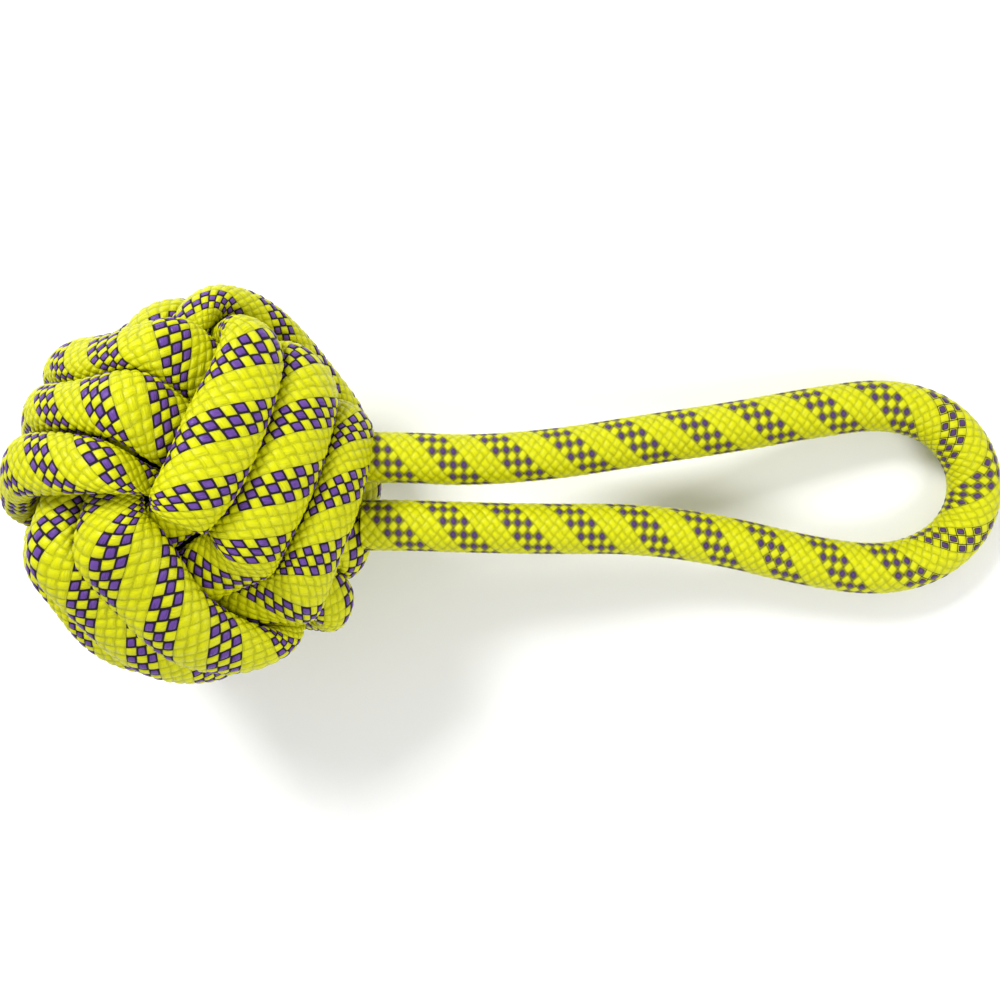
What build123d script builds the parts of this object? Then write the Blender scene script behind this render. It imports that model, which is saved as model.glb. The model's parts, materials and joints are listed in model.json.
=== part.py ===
from build123d import *
import os
from math import asin, atan2, cos, degrees, radians, sin, sqrt, tan

# Rope ball with a hand loop: one braided rope wound round a core ball as a
# monkey's fist, with a doubled bight left standing out as the handle.
# Millimetres. +X from the ball to the loop, +Z up. The toy lies on the floor,
# on its ball and on the far end of its loop, and the origin is at the middle
# of the whole footprint, on the floor.

# ---- driving sizes ----
rope_diameter = 12.7
pressed_width = 13.2        # the rope is pressed oval inside the knot
pressed_thickness = 9.5
core_slack = 9.3            # how much wider the core is than the turns laid on it
turn_gap = 0.3              # between turns side by side
layer_gap = 0.3             # between core, inner layer and outer layer
face_bow = 55.0             # how round a turn is where it shows
side_bow = 200.0            # and where it lies under the next wrap
corner_radius = 8.5         # where it goes down beside the next wrap
side_drop = 2.4             # how much lower the side turns lie on the core
turns_per_wrap = 3

exit_gap = 0.4              # between the knot and the loop's hinge end
root_depth = 9.0            # how far a leg's root reaches down into the knot
root_clearance = 0.15

# The knot's three wraps face three square directions. The first faces up and
# to the loop's side, the third up and away from the loop.
first_facing = Vector(0.855, 0.068, 0.515)
third_hint = Vector(-0.50, 0.467, 0.735)

# The loop's route in its own plane: distance from the knot's middle, offset
# across, and sag below the plane.
upper_start = 7.3
lower_start = -9.4
loop_route = [
    (68.0, 6.5, -0.9),
    (90.0, 8.2, -2.0),
    (112.0, 11.8, -2.6),
    (134.0, 15.0, -2.6),
    (154.0, 18.6, -2.0),
    (171.0, 20.8, -1.0),
    (184.5, 16.8, -0.2),
    (192.6, 6.2, 0.0),
    (192.4, -6.6, 0.0),
    (184.0, -16.6, -0.2),
    (170.0, -20.9, -1.0),
    (151.0, -18.2, -2.0),
    (131.0, -13.2, -2.6),
    (110.0, -10.3, -2.6),
    (89.0, -10.4, -2.0),
    (68.0, -10.0, -0.9),
]
arc_share = 0.45            # of the shorter run, taken by each rounded corner

# ---- worked out from them ----
rope_radius = rope_diameter / 2
pitch = pressed_width + turn_gap
core_radius = (turns_per_wrap * pitch + core_slack) / 2
inner_layer = core_radius + layer_gap + pressed_thickness / 2
outer_layer = inner_layer + pressed_thickness + layer_gap
knot_radius = sqrt((outer_layer + pressed_thickness / 2) ** 2 + pitch**2)
pivot_reach = knot_radius + exit_gap + rope_radius
far_reach = max(x for x, y, z in loop_route)

first = first_facing.normalized()
third = (third_hint - first * third_hint.dot(first)).normalized()
second = third.cross(first)
wraps = {
    "first": (first, second, third),
    "second": (second, third, first),
    "third": (third, first, second),
}
turn_offsets = [pitch * (n - (turns_per_wrap - 1) / 2) for n in range(turns_per_wrap)]


def turn_line(plane, inner):
    """One turn's middle line: an oval box, outside at both ends of the plane's X."""
    face = Vector(outer_layer - face_bow, 0)
    side = Vector(0, inner - side_bow)
    to_side = side - face
    gap = to_side.length
    face_to_corner = face_bow - corner_radius
    side_to_corner = side_bow - corner_radius
    along = (face_to_corner**2 - side_to_corner**2 + gap**2) / (2 * gap)
    across = sqrt(face_to_corner**2 - along**2)
    unit = to_side.normalized()
    corner = face + unit * along + Vector(-unit.Y, unit.X) * across
    face_end = degrees(atan2(corner.Y - face.Y, corner.X - face.X))
    side_end = degrees(atan2(corner.Y - side.Y, corner.X - side.X))
    with BuildLine(plane) as line:
        for sign, start in ((1, 0), (-1, 180)):
            CenterArc((sign * face.X, 0), face_bow, start - face_end, 2 * face_end)
            CenterArc((0, sign * side.Y), side_bow, start + side_end, 180 - 2 * side_end)
        for sx, sy in ((1, 1), (-1, 1), (-1, -1), (1, -1)):
            hand = sx * sy
            start = (0 if sx > 0 else 180) + hand * face_end
            CenterArc((sx * corner.X, sy * corner.Y), corner_radius, start, hand * (side_end - face_end))
    return line.wire()


def knot_turn(centre, directions, offset, spare=0.0):
    """One closed turn of the pressed rope, spare thicker all round."""
    along, across, side = directions
    plane = Plane(origin=centre + side * offset, x_dir=along, z_dir=side)
    path = turn_line(plane, inner_layer - side_drop * (offset / pitch) ** 2)
    with BuildPart() as turn:
        with BuildSketch(Plane(origin=path @ 0, x_dir=side, z_dir=path % 0)):
            Ellipse(pressed_width / 2 + spare, pressed_thickness / 2 + spare)
        sweep(path=path)
    return turn.part


def arc_radii(points):
    radii = []
    for before, here, after in zip(points, points[1:], points[2:]):
        run_in = here - before
        run_out = after - here
        half_turn = radians(run_in.get_angle(run_out)) / 2
        radii.append(arc_share * min(run_in.length, run_out.length) / tan(half_turn))
    return radii


# The knot stands on its lowest turn, so its turns are tried about a centre at
# the origin first.
trial = [
    knot_turn(Vector(0, 0, 0), directions, offset).bounding_box()
    for directions in wraps.values()
    for offset in turn_offsets
]
knot_low = min(box.min.Z for box in trial)
knot_back = min(box.min.X for box in trial)
knot_left = min(box.min.Y for box in trial)
knot_right = max(box.max.Y for box in trial)
tilt = asin((-knot_low - rope_radius) / far_reach)
toy_end = far_reach * cos(tilt) + rope_radius
centre = Vector(-(knot_back + toy_end) / 2, -(knot_left + knot_right) / 2, -knot_low)
loop_plane = Plane(origin=centre, x_dir=(cos(tilt), 0, -sin(tilt)), z_dir=(sin(tilt), 0, cos(tilt)))

os.makedirs("parts", exist_ok=True)


def keep(part, name):
    part.label = name
    export_step(part, f"parts/{name}.step")


# ---- core ball ----
with BuildPart() as core_ball:
    with Locations(centre):
        Sphere(core_radius)
keep(core_ball.part, "core_ball")

# ---- the knot's nine turns ----
for wrap, directions in wraps.items():
    for number, offset in enumerate(turn_offsets, 1):
        keep(knot_turn(centre, directions, offset), f"{wrap}_wrap_turn_{number}")

# ---- the roots of the two legs, seated in the hollow between the turns ----
for name, start in (("upper_leg_root", upper_start), ("lower_leg_root", lower_start)):
    root_plane = Plane(
        origin=loop_plane.from_local_coords(Vector(knot_radius, start, 0)),
        x_dir=(0, 1, 0),
        z_dir=-loop_plane.x_dir,
    )
    with BuildPart() as leg_root:
        with BuildSketch(root_plane):
            Circle(rope_radius)
        extrude(amount=root_depth)
        for directions in wraps.values():
            for offset in turn_offsets:
                add(knot_turn(centre, directions, offset, root_clearance), mode=Mode.SUBTRACT)
    keep(leg_root.part.solids().sort_by(SortBy.VOLUME)[-1], name)

# ---- the hand loop ----
points = [
    loop_plane.from_local_coords(Vector(*place))
    for place in [(pivot_reach, upper_start, 0), *loop_route, (pivot_reach, lower_start, 0)]
]
radii = arc_radii(points)
with BuildLine() as loop_line:
    FilletPolyline(*points, radius=radii)
loop_path = loop_line.wire()
with BuildPart() as hand_loop:
    with BuildSketch(Plane(origin=loop_path @ 0, x_dir=(0, 1, 0), z_dir=loop_path % 0)):
        Circle(rope_radius)
    sweep(path=loop_path)
    with Locations(points[0], points[-1]):
        Sphere(rope_radius)
keep(hand_loop.part, "hand_loop")

print("cord radii, mm:", [round(radius, 1) for radius in radii])
print("knot radius", round(knot_radius, 2), "tilt", round(degrees(tilt), 2))
print("knot centre", [round(v, 3) for v in centre])
pivot = loop_plane.from_local_coords(Vector(pivot_reach, (upper_start + lower_start) / 2, 0))
print("hinge", [round(v, 3) for v in pivot])
print("loop length", round(loop_path.length, 1))
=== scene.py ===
import json
import math
import random

import bmesh
import bpy
import numpy as np
from mathutils import Matrix, Vector


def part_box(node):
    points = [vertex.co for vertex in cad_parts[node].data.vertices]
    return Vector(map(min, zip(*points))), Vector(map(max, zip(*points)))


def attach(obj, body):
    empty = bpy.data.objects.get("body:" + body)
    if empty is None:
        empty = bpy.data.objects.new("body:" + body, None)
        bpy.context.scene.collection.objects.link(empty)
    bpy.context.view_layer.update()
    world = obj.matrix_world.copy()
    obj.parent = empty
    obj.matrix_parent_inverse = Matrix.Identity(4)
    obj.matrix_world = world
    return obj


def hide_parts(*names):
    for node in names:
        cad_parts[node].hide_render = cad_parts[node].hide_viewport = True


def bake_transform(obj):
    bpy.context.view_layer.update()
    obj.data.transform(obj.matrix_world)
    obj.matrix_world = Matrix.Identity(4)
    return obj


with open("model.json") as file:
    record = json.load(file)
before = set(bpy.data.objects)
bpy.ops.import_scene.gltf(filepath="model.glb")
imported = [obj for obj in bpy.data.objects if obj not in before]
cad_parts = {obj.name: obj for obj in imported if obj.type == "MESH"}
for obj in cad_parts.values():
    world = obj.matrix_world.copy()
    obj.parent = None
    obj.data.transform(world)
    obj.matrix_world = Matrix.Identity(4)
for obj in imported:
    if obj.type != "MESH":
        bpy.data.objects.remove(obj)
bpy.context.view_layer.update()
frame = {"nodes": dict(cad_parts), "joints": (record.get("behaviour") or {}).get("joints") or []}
print("frame loaded")

# the loop's plane starts at the knot's middle, and tips down to the floor
coreLow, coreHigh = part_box("core_ball")
knotCentre = (coreLow + coreHigh) / 2
bendPoint = Vector(frame["joints"][0]["pos_m"])
loopTilt = math.atan2(knotCentre.z - bendPoint.z, bendPoint.x - knotCentre.x)
loopAlong = Vector((math.cos(loopTilt), 0, -math.sin(loopTilt)))
loopAcross = Vector((0, 1, 0))
loopOut = loopAlong.cross(loopAcross)


def inLoopPlane(x, y, z):
    return knotCentre + loopAlong * x + loopAcross * y + loopOut * z


# the rope is the same everywhere, but it is pulled tight in the knot
braid = {
    "diamonds": 12,  # side by side round the rope
    "steps": 4,  # mesh squares across one diamond
    "looseLength": 0.0026,  # one diamond along the rope where it hangs free
    "tightLength": 0.0029,  # and in the knot
    "looseLift": 0.00026,  # how far a yarn stands out over the gaps
    "tightLift": 0.00036,
    "stripeEvery": 6,  # yarns before the colours come round again
    "crown": 0.9,  # how far a yarn falls off at its two edges
    "arch": 0.75,  # and where it goes down under the next
    "mergeGap": 2e-6,
}


def yarnHeight(along, around):
    # yarns run round the rope both ways, and take turns to lie on top
    nearly = 1e-6
    oneWay, otherWay = along + around, along - around
    oneRow, otherRow = np.floor(oneWay + nearly), np.floor(otherWay + nearly)
    oneSide = 2 * (oneWay - oneRow) - 1
    otherSide = 2 * (otherWay - otherRow) - 1
    oneOnTop = (oneRow + otherRow) % 2 == 0
    across = np.where(oneOnTop, oneSide, otherSide)
    lengthways = np.where(oneOnTop, otherSide, oneSide)
    return (1 - braid["crown"] * across**4) * (1 - braid["arch"] * lengthways**2)


def splineLine(controls, closed):
    curve = bpy.data.curves.new("route", "CURVE")
    curve.dimensions = "3D"
    curve.resolution_u = 24
    spline = curve.splines.new("NURBS")
    spline.points.add(len(controls) - 1)
    for point, place in zip(spline.points, controls):
        point.co = (*place, 1)
    spline.order_u = 3
    spline.use_cyclic_u = closed
    spline.use_endpoint_u = not closed
    holder = bpy.data.objects.new("route", curve)
    bare = bpy.data.meshes.new_from_object(holder)
    line = np.array([v.co for v in bare.vertices], float)
    bpy.data.meshes.remove(bare)
    bpy.data.objects.remove(holder)
    bpy.data.curves.remove(curve)
    if closed:
        line = np.vstack([line, line[:1]])
    return line


def runAlong(line):
    return np.concatenate([[0], np.cumsum(np.linalg.norm(np.diff(line, axis=0), axis=1))])


def evenly(line, rows):
    run = runAlong(line)
    at = np.linspace(0, run[-1], rows + 1)
    return np.stack([np.interp(at, run, line[:, k]) for k in range(3)], axis=1)


def tangents(line, closed):
    if closed:
        ahead, behind = np.roll(line[:-1], -1, axis=0), np.roll(line[:-1], 1, axis=0)
        along = ahead - behind
        along = np.vstack([along, along[:1]])
    else:
        along = np.gradient(line, axis=0)
    return along / np.linalg.norm(along, axis=1, keepdims=True)


def numbersOf(collection, name, kind, wide):
    values = np.zeros(len(collection) * wide, kind)
    collection.foreach_get(name, values)
    return values.reshape(-1, wide)


def flatBraid(rows):
    # a flat grid with a middle point in each square, counted in diamonds along and around
    bm = bmesh.new()
    bmesh.ops.create_grid(bm, x_segments=rows, y_segments=braid["diamonds"] * braid["steps"], size=0.5)
    bmesh.ops.translate(bm, verts=bm.verts, vec=(0.5, 0.5, 0))
    bmesh.ops.scale(bm, verts=bm.verts, vec=(rows / braid["steps"], braid["diamonds"], 1))
    bmesh.ops.poke(bm, faces=bm.faces)
    return bm


def braidedTube(name, line, ups, halfWidth, halfThick, lift, turned, material, closed=False, settle=None):
    rows = len(line) - 1
    mesh = bpy.data.meshes.new(name)
    bm = flatBraid(rows)
    bm.to_mesh(mesh)
    bm.free()
    flat = numbersOf(mesh.vertices, "co", np.float32, 3).astype(float)
    corners = numbersOf(mesh.loops, "vertex_index", np.int32, 1)[:, 0]
    uv = mesh.uv_layers.new(name="braid")
    uv.data.foreach_set("uv", flat[corners, :2].astype(np.float32).ravel())

    # the grid is rolled up round the line
    along, around = flat[:, 0], flat[:, 1]
    tangent = tangents(line, closed)
    side = np.cross(tangent, ups)
    side /= np.linalg.norm(side, axis=1, keepdims=True)
    up = np.cross(side, tangent)
    at = along * braid["steps"]
    low = np.clip(np.floor(at).astype(int), 0, rows - 1)
    share = (at - low)[:, None]

    def there(values):
        return values[low] * (1 - share) + values[low + 1] * share

    angle = 2 * math.pi * around / braid["diamonds"] + turned
    cosine, sine = np.cos(angle)[:, None], np.sin(angle)[:, None]
    wide, thick = there(halfWidth[:, None]), there(halfThick[:, None])
    sideHere, upHere = there(side), there(up)
    skin = there(line) + sideHere * cosine * wide + upHere * sine * thick
    outward = sideHere * cosine * thick + upHere * sine * wide
    outward /= np.linalg.norm(outward, axis=1, keepdims=True)
    skin += outward * (lift * (yarnHeight(along, around) - 1))[:, None]
    if settle:
        skin = settle(skin)
    mesh.vertices.foreach_set("co", skin.astype(np.float32).ravel())

    bm = bmesh.new()
    bm.from_mesh(mesh)
    bmesh.ops.remove_doubles(bm, verts=bm.verts, dist=braid["mergeGap"])
    if not closed:
        bmesh.ops.holes_fill(bm, edges=bm.edges, sides=0)
    bmesh.ops.recalc_face_normals(bm, faces=bm.faces)
    for face in bm.faces:
        face.smooth = True
    bm.to_mesh(mesh)
    bm.free()
    mesh.materials.append(material)
    tube = bpy.data.objects.new(name, mesh)
    bpy.context.scene.collection.objects.link(tube)
    return tube


def feed(tree, socket, value):
    if isinstance(value, bpy.types.NodeSocket):
        tree.links.new(value, socket)
    else:
        socket.default_value = value


# how one yarn is drawn: 0 is its middle, and 1 its edge or its end
yarn = {
    "sideSeam": (0.86, 1.06),  # where the painted shade of the seam beside it starts, and where it is full
    "endSeam": (0.84, 1.04),  # and the painted shade of the seam at its ends, in a violet stripe
    "squareness": 5.0,  # of a violet yarn
    "edgeFade": 0.08,  # from the violet to its dark edge of painted shade
    "closedFade": 0.14,  # and from there to the yellow yarns
    # how much painted shade darkens a yarn towards its ends and its sides, and over what
    "endShade": 0.75,
    "endShadeOver": (0.55, 1.25),
    "sideShade": 0.5,
    "sideShadeOver": (0.35, 1.0),
    "fibreScale": 0.6,
    "fibreDetail": 2.0,
    "seeds": (7.31, 3.17, 41.3),  # keep the fibres of two yarns from being alike
    "roughness": 0.33,
    "streakRoughness": 0.5,
    "seamRoughness": 0.3,
    "sidePower": 2.4,  # how its height falls off to the sides
    "endPower": 3.0,  # and to the ends
    "endReach": 0.8,
    "streakHeight": 0.7,
    "bump": 0.00022,
    "shine": 0.16,
}


def makeBraidGroup():
    group = bpy.data.node_groups.new("braidedYarn", "ShaderNodeTree")
    numbers = [
        "Tracer Repeat", "Tracer Yarns", "Tracer Size", "Tracer Edge",
        "Yarn Width", "Fibres", "Yarn Variation", "Fibre Streaks",
    ]
    colours = ["Ground", "Ground Deep", "Tracer", "Tracer Deep", "Ground Gap", "Tracer Gap"]
    face = group.interface
    face.new_socket("Braid", in_out="INPUT", socket_type="NodeSocketVector")
    for name in numbers:
        face.new_socket(name, in_out="INPUT", socket_type="NodeSocketFloat")
    for name in colours:
        face.new_socket(name, in_out="INPUT", socket_type="NodeSocketColor")
    face.new_socket("Colour", in_out="OUTPUT", socket_type="NodeSocketColor")
    face.new_socket("Roughness", in_out="OUTPUT", socket_type="NodeSocketFloat")
    face.new_socket("Height", in_out="OUTPUT", socket_type="NodeSocketFloat")
    start = group.nodes.new("NodeGroupInput")
    end = group.nodes.new("NodeGroupOutput")

    def given(name):
        return start.outputs[name]

    def calc(operation, *values):
        node = group.nodes.new("ShaderNodeMath")
        node.operation = operation
        for socket, value in zip(node.inputs, values):
            feed(group, socket, value)
        return node.outputs[0]

    def mix(share, low, high):
        return calc("MULTIPLY_ADD", share, calc("SUBTRACT", high, low), low)

    def fade(value, low, high):
        node = group.nodes.new("ShaderNodeMapRange")
        node.interpolation_type = "SMOOTHSTEP"
        for socket, part in zip(node.inputs[:3], (value, low, high)):
            feed(group, socket, part)
        return node.outputs[0]

    def blendColour(share, low, high):
        node = group.nodes.new("ShaderNodeMix")
        node.data_type = "RGBA"
        feed(group, node.inputs[0], share)
        feed(group, node.inputs[6], low)
        feed(group, node.inputs[7], high)
        return node.outputs[2]

    def together(*values):
        node = group.nodes.new("ShaderNodeCombineXYZ")
        for socket, value in zip(node.inputs, values):
            feed(group, socket, value)
        return node.outputs[0]

    # which yarn lies on top here, and how far across and along it the point is
    split = group.nodes.new("ShaderNodeSeparateXYZ")
    feed(group, split.inputs[0], given("Braid"))
    oneWay = calc("ADD", split.outputs[0], split.outputs[1])
    otherWay = calc("SUBTRACT", split.outputs[0], split.outputs[1])
    oneRow, otherRow = calc("FLOOR", oneWay), calc("FLOOR", otherWay)
    otherOnTop = calc("FLOORED_MODULO", calc("ADD", oneRow, otherRow), 2.0)
    oneSide = calc("MULTIPLY_ADD", calc("FRACT", oneWay), 2.0, -1.0)
    otherSide = calc("MULTIPLY_ADD", calc("FRACT", otherWay), 2.0, -1.0)
    topAcross, topAlong = mix(otherOnTop, oneSide, otherSide), mix(otherOnTop, otherSide, oneSide)

    # past the upper yarn's edge, the end of the other one is seen coming out from under it
    besideIt = calc("ABSOLUTE", topAcross)
    under = calc("GREATER_THAN", besideIt, given("Yarn Width"))
    underAlong = calc("SUBTRACT", 2.0, besideIt)
    across = mix(under, topAcross, topAlong)
    along = mix(under, calc("ABSOLUTE", topAlong), underAlong)
    signedAlong = mix(under, topAlong, underAlong)
    isOther = calc("ABSOLUTE", calc("SUBTRACT", otherOnTop, under))
    beside = calc("DIVIDE", calc("ABSOLUTE", across), given("Yarn Width"))

    inStripe = calc("FLOORED_MODULO", oneRow, given("Tracer Repeat"))
    tracerHere = calc("LESS_THAN", inStripe, given("Tracer Yarns"))
    isTracer = calc("MULTIPLY", tracerHere, calc("SUBTRACT", 1.0, isOther))

    # fibres lie along the yarn that shows
    oneSeed, otherSeed, sideSeed = yarn["seeds"]
    seed = calc("MULTIPLY_ADD", oneRow, oneSeed, calc("MULTIPLY", otherRow, otherSeed))
    seed = calc("MULTIPLY_ADD", isOther, sideSeed, seed)
    fibres = group.nodes.new("ShaderNodeTexNoise")
    fibres.inputs["Scale"].default_value = yarn["fibreScale"]
    fibres.inputs["Detail"].default_value = yarn["fibreDetail"]
    fibrePlace = together(calc("MULTIPLY", across, given("Fibres")), signedAlong, seed)
    feed(group, fibres.inputs["Vector"], fibrePlace)
    streak = calc("SUBTRACT", fibres.outputs[0], 0.5)

    # each yarn is a little lighter or darker where it shows
    odd = group.nodes.new("ShaderNodeTexWhiteNoise")
    odd.noise_dimensions = "2D"
    feed(group, odd.inputs["Vector"], together(oneRow, otherRow))
    variation = calc("SUBTRACT", odd.outputs[0], 0.5)

    # a violet yarn is thinner than the yellow ones, which close in round it past a dark edge of painted
    # shade
    stripeSeam = calc("MULTIPLY", fade(along, *yarn["endSeam"]), tracerHere)
    seam = calc("MAXIMUM", fade(beside, *yarn["sideSeam"]), stripeSeam)
    power = yarn["squareness"]
    corners = calc("ADD", calc("POWER", beside, power), calc("POWER", along, power))
    square = calc("POWER", corners, 1 / power)
    size = given("Tracer Size")
    edgeEnd = calc("ADD", size, given("Tracer Edge"))
    edge = calc("MULTIPLY", isTracer, fade(square, size, calc("ADD", size, yarn["edgeFade"])))
    closed = calc("MULTIPLY", isTracer, fade(square, edgeEnd, calc("ADD", edgeEnd, yarn["closedFade"])))
    gap = calc("MAXIMUM", seam, calc("SUBTRACT", edge, closed))

    # painted shade makes a yarn darker at its sides and where it goes down under the next, and its fibres
    # make it uneven
    shadeAndTone = calc("MULTIPLY", fade(beside, *yarn["sideShadeOver"]), yarn["sideShade"])
    shadeAndTone = calc("MULTIPLY_ADD", fade(along, *yarn["endShadeOver"]), yarn["endShade"], shadeAndTone)
    shadeAndTone = calc("MULTIPLY_ADD", variation, given("Yarn Variation"), shadeAndTone)
    shadeAndTone = calc("MULTIPLY_ADD", streak, given("Fibre Streaks"), shadeAndTone)
    clamp = group.nodes.new("ShaderNodeClamp")
    feed(group, clamp.inputs[0], shadeAndTone)
    depth = clamp.outputs[0]
    # the Deep colours are a yarn's painted shade, also reached by its random tone and its fibres
    ground = blendColour(depth, given("Ground"), given("Ground Deep"))
    tracer = blendColour(depth, given("Tracer"), given("Tracer Deep"))
    # the seams are painted shade: olive between yellow yarns, near black in a violet stripe, where the
    # dark violet yarn beneath shows too
    gapColour = blendColour(tracerHere, given("Ground Gap"), given("Tracer Gap"))
    shown = blendColour(calc("SUBTRACT", isTracer, closed), ground, tracer)
    feed(group, end.inputs["Colour"], blendColour(gap, shown, gapColour))

    rough = calc("MULTIPLY_ADD", streak, yarn["streakRoughness"], yarn["roughness"])
    feed(group, end.inputs["Roughness"], calc("MULTIPLY_ADD", gap, yarn["seamRoughness"], rough))

    crown = calc("SUBTRACT", 1.0, calc("POWER", beside, yarn["sidePower"]))
    toEnd = calc("MULTIPLY", along, yarn["endReach"])
    arch = calc("SUBTRACT", 1.0, calc("POWER", toEnd, yarn["endPower"]))
    form = calc("MULTIPLY", crown, arch)
    feed(group, end.inputs["Height"], calc("MULTIPLY_ADD", streak, yarn["streakHeight"], form))
    return group


braidGroup = makeBraidGroup()


def braidedRope(name, values):
    material = bpy.data.materials.new(name)
    material.use_nodes = True
    tree = material.node_tree
    shader = tree.nodes["Principled BSDF"]
    uv = tree.nodes.new("ShaderNodeUVMap")
    uv.uv_map = "braid"
    yarns = tree.nodes.new("ShaderNodeGroup")
    yarns.node_tree = braidGroup
    for key, value in values.items():
        yarns.inputs[key].default_value = value
    feed(tree, yarns.inputs["Braid"], uv.outputs[0])
    feed(tree, shader.inputs["Base Color"], yarns.outputs["Colour"])
    feed(tree, shader.inputs["Roughness"], yarns.outputs["Roughness"])
    bump = tree.nodes.new("ShaderNodeBump")
    bump.inputs["Strength"].default_value = 1.0
    bump.inputs["Distance"].default_value = yarn["bump"]
    feed(tree, bump.inputs["Height"], yarns.outputs["Height"])
    feed(tree, shader.inputs["Normal"], bump.outputs[0])
    shader.inputs["Specular IOR Level"].default_value = yarn["shine"]
    return material


# Ground Deep and Tracer Deep are the yarns' painted shade at their sides and ends, also their darker
# random tone; Ground Gap and Tracer Gap are painted shade in the seams
ropeLook = {
    "Tracer Repeat": float(braid["stripeEvery"]),
    "Tracer Yarns": 3.0,
    "Yarn Width": 0.88,
    "Fibres": 8.0,
    "Yarn Variation": 0.3,
    "Fibre Streaks": 2.2,
    "Ground": (0.6, 0.61, 0.003, 1),
    "Ground Deep": (0.4, 0.415, 0.0015, 1),
    "Tracer": (0.125, 0.055, 0.29, 1),
    "Tracer Deep": (0.03, 0.008, 0.09, 1),
    "Ground Gap": (0.46, 0.475, 0.002, 1),
    "Tracer Gap": (0.014, 0.007, 0.016, 1),
}
knotLook = {**ropeLook, "Tracer Size": 0.7, "Tracer Edge": 0.38}
# the loop's violet is painted darker than the knot's, a shaded copy of the same yarn
loopLook = {**ropeLook, "Tracer Size": 0.6, "Tracer Edge": 0.14, "Tracer": (0.08, 0.04, 0.14, 1)}
knotRope = braidedRope("knotRope", knotLook)
loopRope = braidedRope("loopRope", loopLook)


# the ball inside the knot
core = {
    "grain": 900,
    "dark": (0.012, 0.012, 0.013, 1),
    "light": (0.035, 0.035, 0.038, 1),
    "bump": 0.0002,
    "bumpStrength": 0.5,
    "roughness": 0.85,
}


def foamRubber(name):
    material = bpy.data.materials.new(name)
    material.use_nodes = True
    tree = material.node_tree
    shader = tree.nodes["Principled BSDF"]
    place = tree.nodes.new("ShaderNodeTexCoord")
    grain = tree.nodes.new("ShaderNodeTexVoronoi")
    grain.inputs["Scale"].default_value = core["grain"]
    feed(tree, grain.inputs["Vector"], place.outputs["Object"])
    ramp = tree.nodes.new("ShaderNodeValToRGB")
    ramp.color_ramp.elements[0].color = core["dark"]
    ramp.color_ramp.elements[1].color = core["light"]
    feed(tree, ramp.inputs[0], grain.outputs["Distance"])
    feed(tree, shader.inputs["Base Color"], ramp.outputs[0])
    bump = tree.nodes.new("ShaderNodeBump")
    bump.inputs["Strength"].default_value = core["bumpStrength"]
    bump.inputs["Distance"].default_value = core["bump"]
    feed(tree, bump.inputs["Height"], grain.outputs["Distance"])
    feed(tree, shader.inputs["Normal"], bump.outputs[0])
    shader.inputs["Roughness"].default_value = core["roughness"]
    return material


coreMesh = frame["nodes"]["core_ball"].data
coreMesh.materials.clear()
coreMesh.materials.append(foamRubber("coreRubber"))
for polygon in coreMesh.polygons:
    polygon.use_smooth = True
print("materials made")

# the knot: three wraps of three turns, drawn together where they meet
knot = {
    "firstFacing": (0.855, 0.068, 0.515),  # where the first wrap shows
    "thirdHint": (-0.5, 0.467, 0.735),  # and roughly where the third one does
    "pitch": 0.0135,  # from one turn to the next
    "halfWidth": 0.0067,
    "halfThick": 0.0048,
    "spread": 0.11,  # how much wider apart the turns are where they show
    "sideTilt": 20,  # degrees that the outer turns lean over the ball's side
    "sideDrop": 0.0009,  # how much lower they lie where they show
    "faceSlope": 1.6,  # how quickly a turn passes from showing to lying under
    "faceEdge": 0.3,
    "wander": 0.0003,
    "widthSwell": 0.02,
    "thickSwell": 0.03,
    "waves": 3,  # that make up the wandering and swelling
    "waveStart": 6.28,  # each starts anywhere up to this
    "seed": 7,
    # a quarter of a turn in mm, from where it shows to where it lies under the next wrap
    "middleOutline": [(40.42, 0), (38.01, 14.71), (33.54, 27.25), (20.59, 29.07), (0, 30.27)],
    "sideOutline": [(40.41, 0), (37.94, 15.33), (34.04, 24.93), (20.18, 26.66), (0, 27.88)],
    "pinchReach": 0.0115,  # at each of the ball's eight corners
    "pinchDepth": 0.04,
    "pinchStrength": 0.44,
    # where strands were drawn over, how far, and over what reach, in mm in the loop's plane
    "tugs": [
        ((12, 14, 38), (-4.5, 0, 0), 11),
        ((0, -22, 36), (5.5, 6.5, 0), 12),
        ((18, -31, 30), (3, 5, 0), 9),
        ((32, -32, 8), (4, -2, 0), 11),
        ((16, 38, 12), (2, 4.5, 0), 12),
        ((-6, -46, 6), (1, -3.5, 0), 14),
        ((-38, -24, 12), (5, 0, 0), 11),
        ((-44, 8, 8), (4, 0, 0), 14),
        ((-20, 34, 26), (0, -3.5, 0), 10),
        ((5, -3, 38), (-3, -2, 0), 6),
        ((-5, -10, 38), (3, 3, 0), 7),
        ((13, -14, 36), (-3, -1, 0), 7),
        ((6, -17, 37), (2.5, 2.5, 0), 6),
    ],
}
firstFacing = Vector(knot["firstFacing"]).normalized()
thirdHint = Vector(knot["thirdHint"])
thirdFacing = (thirdHint - firstFacing * thirdHint.dot(firstFacing)).normalized()
secondFacing = thirdFacing.cross(firstFacing)
wraps = {  # where each wrap shows, the way it runs there, and across it
    "first": (firstFacing, secondFacing, thirdFacing),
    "second": (secondFacing, thirdFacing, firstFacing),
    "third": (thirdFacing, firstFacing, secondFacing),
}


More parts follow.
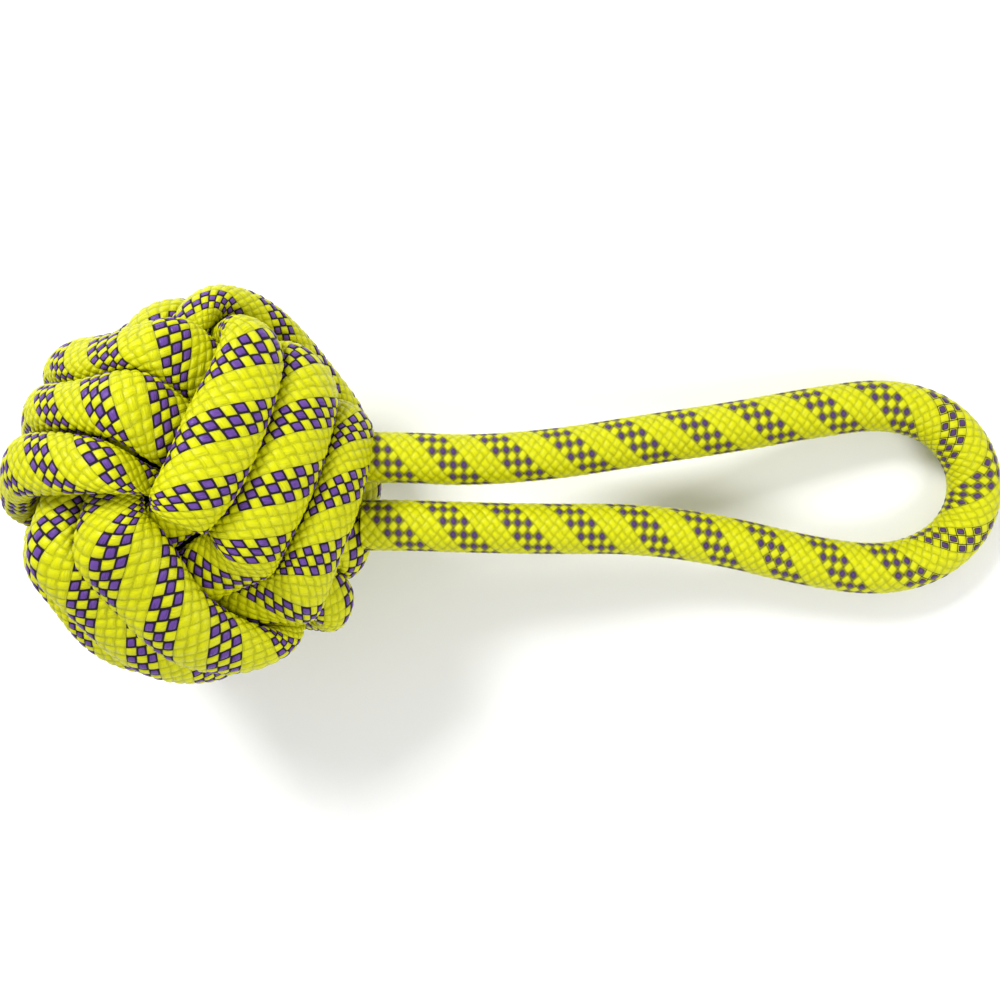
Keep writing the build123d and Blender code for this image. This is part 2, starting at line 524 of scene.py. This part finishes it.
def drawnTogether(points):
    inside = points - np.array(knotCentre)
    for x in (-1, 1):
        for y in (-1, 1):
            for z in (-1, 1):
                corner = np.array((firstFacing * x + secondFacing * y + thirdFacing * z).normalized())
                depth = inside @ corner
                sideways = inside - depth[:, None] * corner
                far = (sideways**2).sum(1) / knot["pinchReach"] ** 2
                outer = np.clip(depth / knot["pinchDepth"], 0, 1) ** 2
                inside = inside - sideways * (knot["pinchStrength"] * np.exp(-far / 2) * outer)[:, None]
    axes = np.array([loopAlong, loopAcross, loopOut])
    moved = inside.copy()
    for place, pull, reach in knot["tugs"]:
        far = ((inside - np.array(place) / 1000 @ axes) ** 2).sum(1) / (reach / 1000) ** 2
        moved += np.exp(-far / 2)[:, None] * (np.array(pull) / 1000 @ axes)
    return moved + np.array(knotCentre)


def wholeOutline(quarter):
    half = quarter + [(-x, y) for x, y in quarter[-2::-1]]
    return half + [(x, -y) for x, y in half[-2:0:-1]]


def ropeTurn(name, directions, step, rng):
    out, run, across = (np.array(direction) for direction in directions)
    outline = wholeOutline(knot["middleOutline" if step == 0 else "sideOutline"])
    line = splineLine([(x / 1000, y / 1000, 0) for x, y in outline], True)
    stripes = round(runAlong(line)[-1] / braid["tightLength"] / braid["stripeEvery"])
    line = evenly(line, braid["stripeEvery"] * stripes * braid["steps"])
    turnAngle = np.arctan2(line[:, 1], line[:, 0])
    # 1 where the turn shows, 0 where it lies under the next wrap
    face = np.clip(knot["faceSlope"] * np.cos(turnAngle) ** 2 - knot["faceEdge"], 0, 1)
    start = knot["waveStart"]
    waves = [(rng.uniform(0, start), rng.uniform(0, start)) for _ in range(knot["waves"])]
    sway = sum(np.sin((k + 1) * turnAngle + wave[0]) / (k + 1) for k, wave in enumerate(waves))
    swell = sum(np.sin((k + 2) * turnAngle + wave[1]) / (k + 2) for k, wave in enumerate(waves))
    radial = line / np.linalg.norm(line, axis=1, keepdims=True)
    line = line - radial * (knot["sideDrop"] * abs(step) * face)[:, None]
    offset = knot["pitch"] * step * (1 + knot["spread"] * face) + knot["wander"] * sway * face
    world = np.array(knotCentre) + line[:, :1] * out + line[:, 1:2] * run + offset[:, None] * across
    flatUp = np.cross(tangents(line, True), [0, 0, 1.0])
    flatUp *= np.sign((flatUp * radial).sum(1))[:, None]
    lean = math.tan(math.radians(knot["sideTilt"])) * step
    up = flatUp[:, :1] * out + flatUp[:, 1:2] * run + lean * face[:, None] * across
    halfWidth = knot["halfWidth"] * (1 + knot["spread"] * face + knot["widthSwell"] * swell)
    halfThick = knot["halfThick"] * (1 + knot["thickSwell"] * swell)
    return braidedTube(
        name, world, up, halfWidth, halfThick, braid["tightLift"], rng.uniform(0, start), knotRope,
        closed=True, settle=drawnTogether,
    )


knotRandom = random.Random(knot["seed"])
for wrapName, directions in wraps.items():
    for number in (1, 2, 3):
        turn = ropeTurn(f"{wrapName}WrapTurn{number}", directions, number - 2, knotRandom)
        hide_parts(f"{wrapName}_wrap_turn_{number}")
        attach(turn, "ball_knot")
print("knot wound")

# the hand loop: the rope comes out of the knot, goes round and goes back in
loop = {
    "radius": 0.00635,
    "turned": -1.29,  # sets where the violet stripes fall
    # mm from the knot's middle, across, and up from the loop's plane
    "route": [
        (42, 7.3, 0), (53.25, 7.3, 0), (68, 6.5, -0.9), (90, 8.2, -2), (112, 11.8, -2.6),
        (134, 15, -2.6), (154, 18.6, -2), (171, 20.8, -1), (184.5, 16.8, -0.2), (192.6, 6.2, 0),
        (192.4, -6.6, 0), (184, -16.6, -0.2), (170, -20.9, -1), (151, -18.2, -2),
        (131, -13.2, -2.6), (110, -10.3, -2.6), (89, -10.4, -2), (68, -10, -0.9),
        (53.25, -9.4, 0), (42, -9.4, 0),
    ],
}
loopLine = splineLine([inLoopPlane(*(v / 1000 for v in place)) for place in loop["route"]], False)
loopLength = runAlong(loopLine)[-1]
loopLine = evenly(loopLine, round(loopLength / braid["looseLength"]) * braid["steps"])
print("loop length", round(loopLength, 4))
loopUps = np.tile(np.array(loopOut), (len(loopLine), 1))
loopRadii = np.full(len(loopLine), loop["radius"])
handLoop = braidedTube(
    "handLoop", loopLine, loopUps, loopRadii, loopRadii, braid["looseLift"], loop["turned"], loopRope
)
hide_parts("hand_loop", "upper_leg_root", "lower_leg_root")
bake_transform(handLoop)
print("loop made")

# floor, light and camera
studio = {
    "floorSize": 6,
    "floorDrop": 0.0002,
    "paper": (0.9, 0.9, 0.9, 1),
    "paperRoughness": 0.7,
    "worldLight": 0.58,
    "lights": {  # where each stands, its size and its power
        "keyLight": ((-0.3, 0.5, 0.7), 0.3, 7.2),
        "fillLight": ((0.5, -0.35, 0.6), 0.35, 3.5),
    },
    "aim": (0.0757, -0.0032),  # in the loop's plane, from the knot's middle
    "distance": 0.28,
    "width": 0.2466,  # what the camera takes in at that distance
    "sensor": 36,
    "nearest": 0.01,
}
bpy.ops.mesh.primitive_plane_add(size=studio["floorSize"], location=(0, 0, -studio["floorDrop"]))
floor = bpy.context.object
floor.name = "floor"
paper = bpy.data.materials.new("paper")
paper.use_nodes = True
paperShader = paper.node_tree.nodes["Principled BSDF"]
paperShader.inputs["Base Color"].default_value = studio["paper"]
paperShader.inputs["Roughness"].default_value = studio["paperRoughness"]
floor.data.materials.append(paper)

bpy.context.scene.view_settings.view_transform = "Standard"
world = bpy.data.worlds.new("studio")
bpy.context.scene.world = world
world.use_nodes = True
backdrop = world.node_tree.nodes["Background"]
backdrop.inputs["Color"].default_value = (1, 1, 1, 1)
backdrop.inputs["Strength"].default_value = studio["worldLight"]


def softLight(name, place, size, power):
    light = bpy.data.lights.new(name, "AREA")
    light.size = size
    light.energy = power
    lamp = bpy.data.objects.new(name, light)
    bpy.context.scene.collection.objects.link(lamp)
    lamp.location = place
    lamp.rotation_euler = (-Vector(place)).to_track_quat("-Z", "Y").to_euler()


for lightName, (place, size, power) in studio["lights"].items():
    softLight(lightName, place, size, power)

camera = bpy.data.objects.new("camera", bpy.data.cameras.new("camera"))
bpy.context.scene.collection.objects.link(camera)
bpy.context.scene.camera = camera
facing = Matrix((loopAlong, loopAcross, loopOut)).transposed().to_4x4()
camera.matrix_world = Matrix.Translation(inLoopPlane(*studio["aim"], studio["distance"])) @ facing
camera.data.sensor_width = studio["sensor"]
camera.data.lens = studio["sensor"] * studio["distance"] / studio["width"]
camera.data.clip_start = studio["nearest"]
print("studio set")
